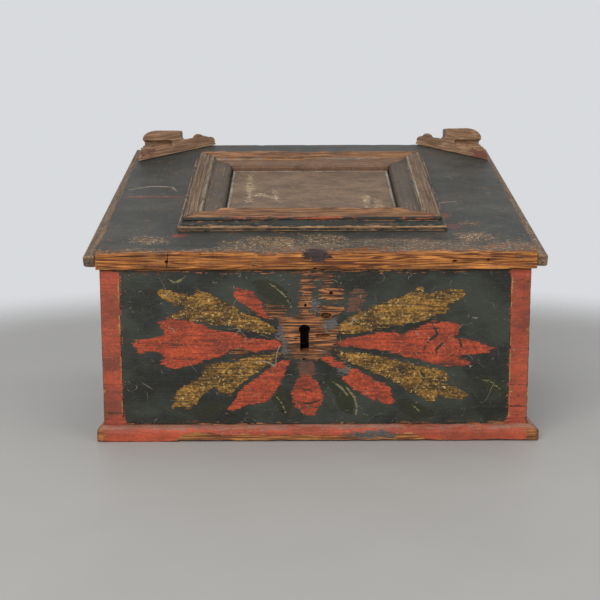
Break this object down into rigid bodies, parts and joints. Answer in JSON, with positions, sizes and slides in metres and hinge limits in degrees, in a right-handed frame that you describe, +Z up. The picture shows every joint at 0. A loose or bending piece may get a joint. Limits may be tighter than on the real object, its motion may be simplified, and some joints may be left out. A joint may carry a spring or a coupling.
{
  "type": "slant-lid desk box",
  "caption": "Dovetailed wooden desk box with a hinged sloping lid, a moulded lid frame with corner brackets, a base moulding, a keyhole and a sliding lock bolt.",
  "frame": {"origin": "on the table, under the middle of the whole box", "axes": "+X to the right as the front is faced, +Y from the front to the hinged back, +Z up"},
  "size_m": [0.4188, 0.3178, 0.2872],
  "materials": {
    "dark_paint": "worn dark green-black oil paint on pine",
    "red_paint": "worn red oil paint on pine",
    "bare_pine": "bare aged pine",
    "worn_brown": "pine with its paint worn to a brown patina",
    "iron": "forged iron, dark and lightly rusted",
    "steel": "filed iron, worn bright where it slides"
  },
  "bodies": {
    "case": {"front_board": "dark_paint", "back_board": "dark_paint", "left_side_board": "dark_paint", "right_side_board": "dark_paint", "bottom_board": "bare_pine", "base_moulding_front": "red_paint", "base_moulding_left": "red_paint", "base_moulding_right": "red_paint", "hinge_leaf_left": "iron", "hinge_leaf_right": "iron", "hinge_pin_left": "iron", "hinge_pin_right": "iron", "leaf_nail_left_1": "iron", "leaf_nail_left_2": "iron", "leaf_nail_right_1": "iron", "leaf_nail_right_2": "iron", "lock_plate": "iron", "lock_case": "iron", "lock_nail_1": "iron", "lock_nail_2": "iron", "lock_nail_3": "iron", "lock_nail_4": "iron", "bolt_stud_left": "steel", "bolt_stud_right": "steel", "lock_spring": "steel"},
    "lid": {"lid_board": "dark_paint", "lid_strip_left": "worn_brown", "lid_strip_right": "worn_brown", "frame_moulding_front": "worn_brown", "frame_moulding_back": "worn_brown", "frame_moulding_left": "worn_brown", "frame_moulding_right": "worn_brown", "lid_panel": "worn_brown", "corner_bracket_left": "worn_brown", "corner_bracket_right": "worn_brown", "hinge_strap_left": "iron", "hinge_strap_right": "iron", "strap_nail_left_1": "iron", "strap_nail_left_2": "iron", "strap_nail_right_1": "iron", "strap_nail_right_2": "iron", "lid_staple": "iron", "staple_nail_1": "iron", "staple_nail_2": "iron"},
    "bolt": {"lock_bolt": "steel"}
  },
  "joints": [
    {"name": "lid_hinge", "type": "hinge", "parent": "case", "child": "lid", "pos_m": [0, 0.1553, 0.25045], "axis": [-1, 0, 0], "range_deg": [0, 112]},
    {"name": "bolt_slide", "type": "slide", "parent": "case", "child": "bolt", "axis": [1, 0, 0], "range_m": [0, 0.01]}
  ]
}
